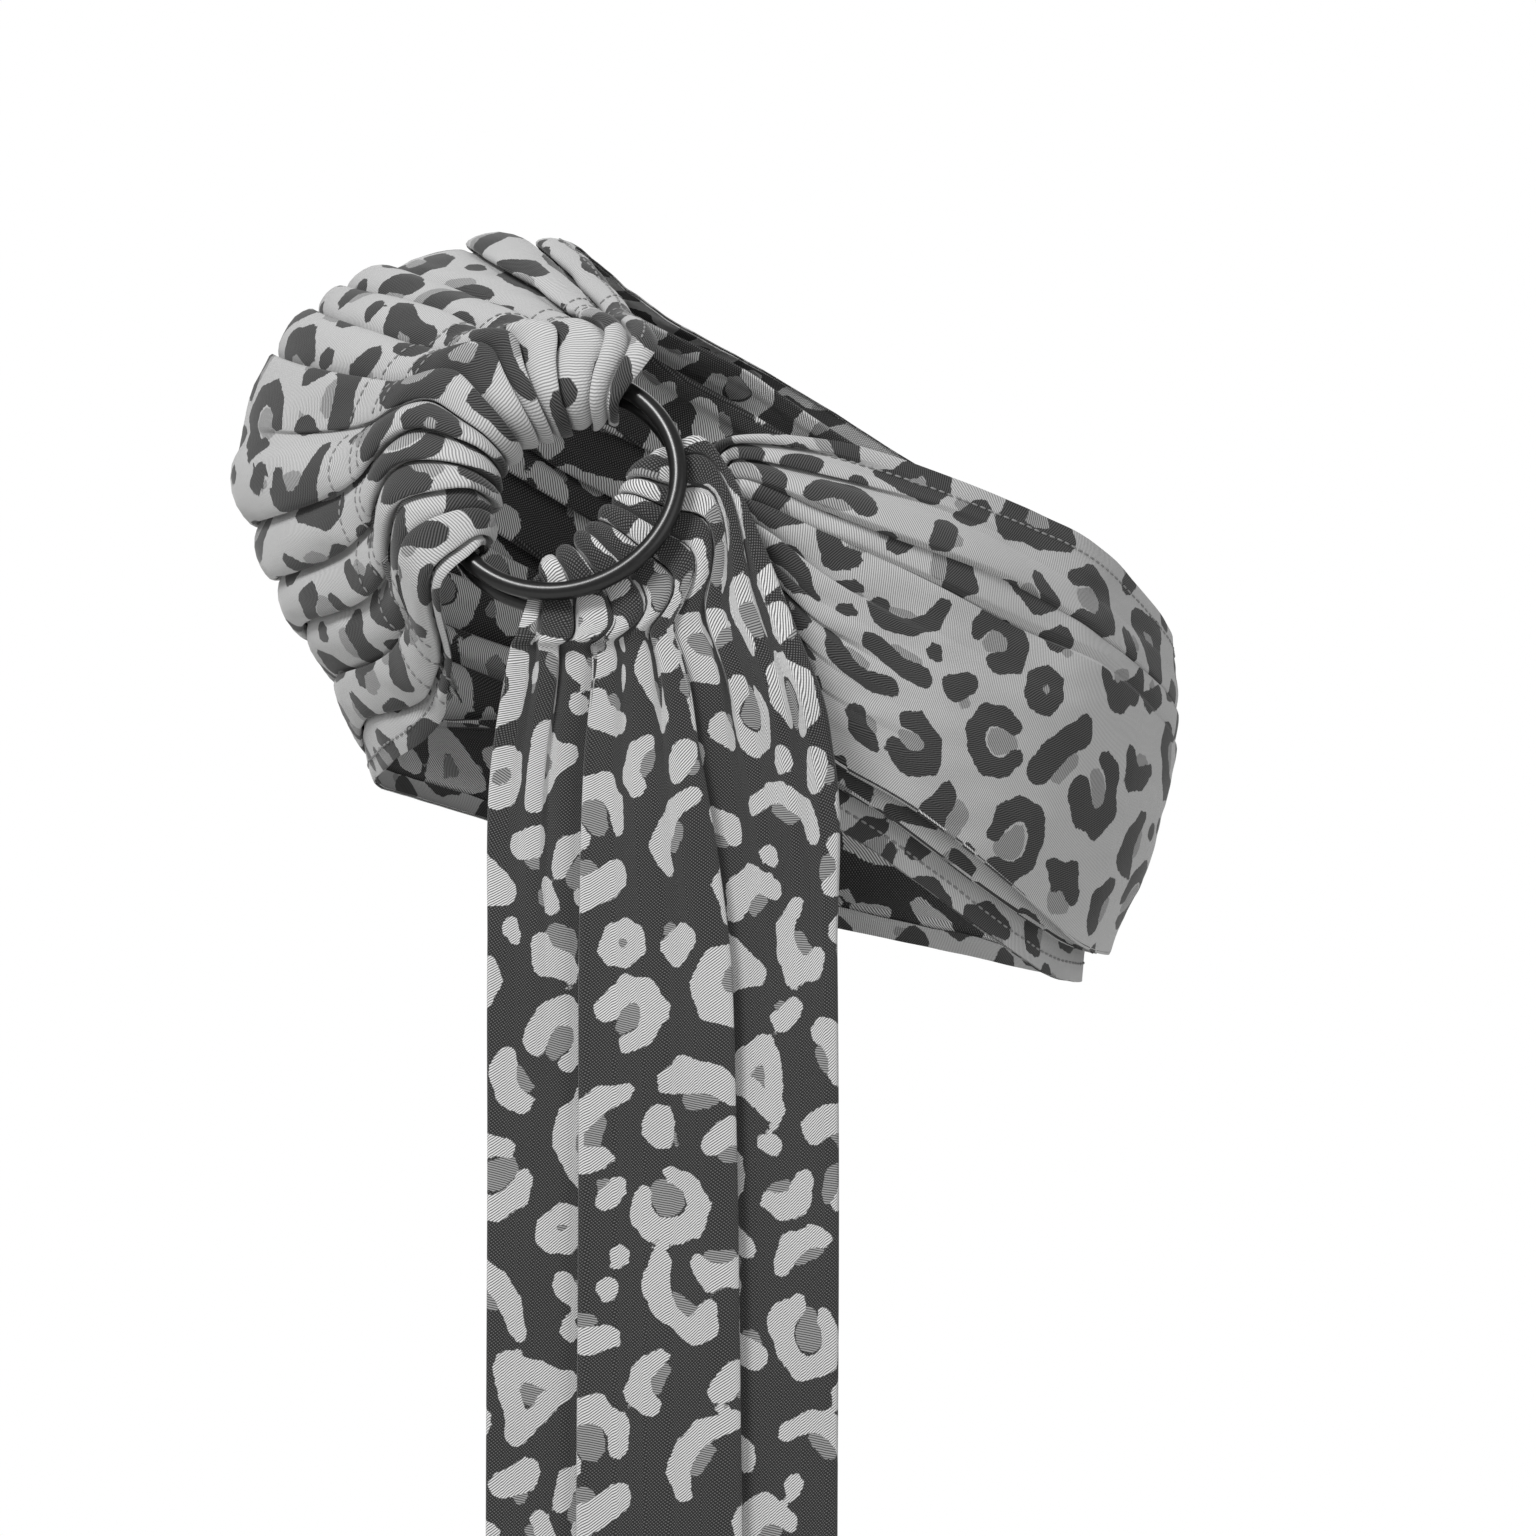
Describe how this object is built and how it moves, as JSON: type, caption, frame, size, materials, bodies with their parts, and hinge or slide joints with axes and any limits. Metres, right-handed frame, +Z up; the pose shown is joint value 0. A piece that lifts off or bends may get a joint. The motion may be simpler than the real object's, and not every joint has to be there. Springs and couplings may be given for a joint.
{
  "type": "ring sling baby carrier",
  "caption": "Woven baby sling worn over one shoulder and under the other arm, gathered and gripped by a pair of rings, with a long folded tail.",
  "frame": {"origin": "where the cloth rests on top of the wearer's shoulder", "axes": "+Z up, -Y out of the wearer's chest, +X towards the wearer's left arm"},
  "size_m": [0.3459, 0.2585, 0.8686],
  "materials": {
    "cloth_face": "woven cotton twill, light grey ground with dark leopard spots",
    "cloth_reverse": "the same cloth's reverse side, dark ground with light grey spots",
    "hem_tape": "folded and stitched edge of the cloth",
    "stitch_thread": "polyester sewing thread",
    "ring_metal": "satin black anodised"
  },
  "bodies": {
    "root": {"back_ring": "ring_metal", "ring_loop": "cloth_face", "shoulder_end_flap": "cloth_reverse", "loop_stitch_row_1": "stitch_thread", "loop_stitch_row_2": "stitch_thread", "loop_stitch_row_3": "stitch_thread", "shoulder_cap": "cloth_face", "shoulder_blade_panel": "cloth_face", "back_panel": "cloth_face", "side_panel": "cloth_face", "front_panel": "cloth_face", "shoulder_neck_hem": "hem_tape", "shoulder_arm_hem": "hem_tape", "shoulder_blade_neck_hem": "hem_tape", "shoulder_blade_arm_hem": "hem_tape", "back_neck_hem": "hem_tape", "back_arm_hem": "hem_tape", "side_neck_hem": "hem_tape", "side_arm_hem": "hem_tape", "front_neck_hem": "hem_tape", "front_arm_hem": "hem_tape", "side_inner_fold": "cloth_face", "front_inner_fold": "cloth_face", "front_gather": "cloth_face", "tail_wrap": "cloth_reverse", "tail_neck": "cloth_reverse"},
    "front_ring": {"front_ring": "ring_metal"},
    "tail_top": {"tail_upper_back_fold": "cloth_reverse", "tail_upper_left_fold": "cloth_reverse", "tail_upper_right_fold": "cloth_reverse", "tail_upper_center_fold": "cloth_reverse"},
    "tail_end": {"tail_lower_back_fold": "cloth_reverse", "tail_lower_left_fold": "cloth_reverse", "tail_lower_right_fold": "cloth_reverse", "tail_lower_center_fold": "cloth_reverse", "tail_end_hem_back_fold": "hem_tape", "tail_end_hem_left_fold": "hem_tape", "tail_end_hem_right_fold": "hem_tape", "tail_end_hem_center_fold": "hem_tape"}
  },
  "joints": [
    {"name": "front_ring_lift", "type": "hinge", "parent": "root", "child": "front_ring", "pos_m": [0.0173, -0.1093, -0.0444], "axis": [-0.6677, -0.2086, -0.7146], "range_deg": [0, 30], "deforming": ["ring_loop"]},
    {"name": "tail_swing", "type": "hinge", "parent": "root", "child": "tail_top", "pos_m": [0.083, -0.1335, -0.128], "axis": [-1, 0, 0], "range_deg": [0, 75], "deforming": ["tail_neck"]},
    {"name": "tail_pull", "type": "slide", "parent": "tail_top", "child": "tail_end", "axis": [0, 0, -1], "range_m": [0, 0.06]}
  ]
}
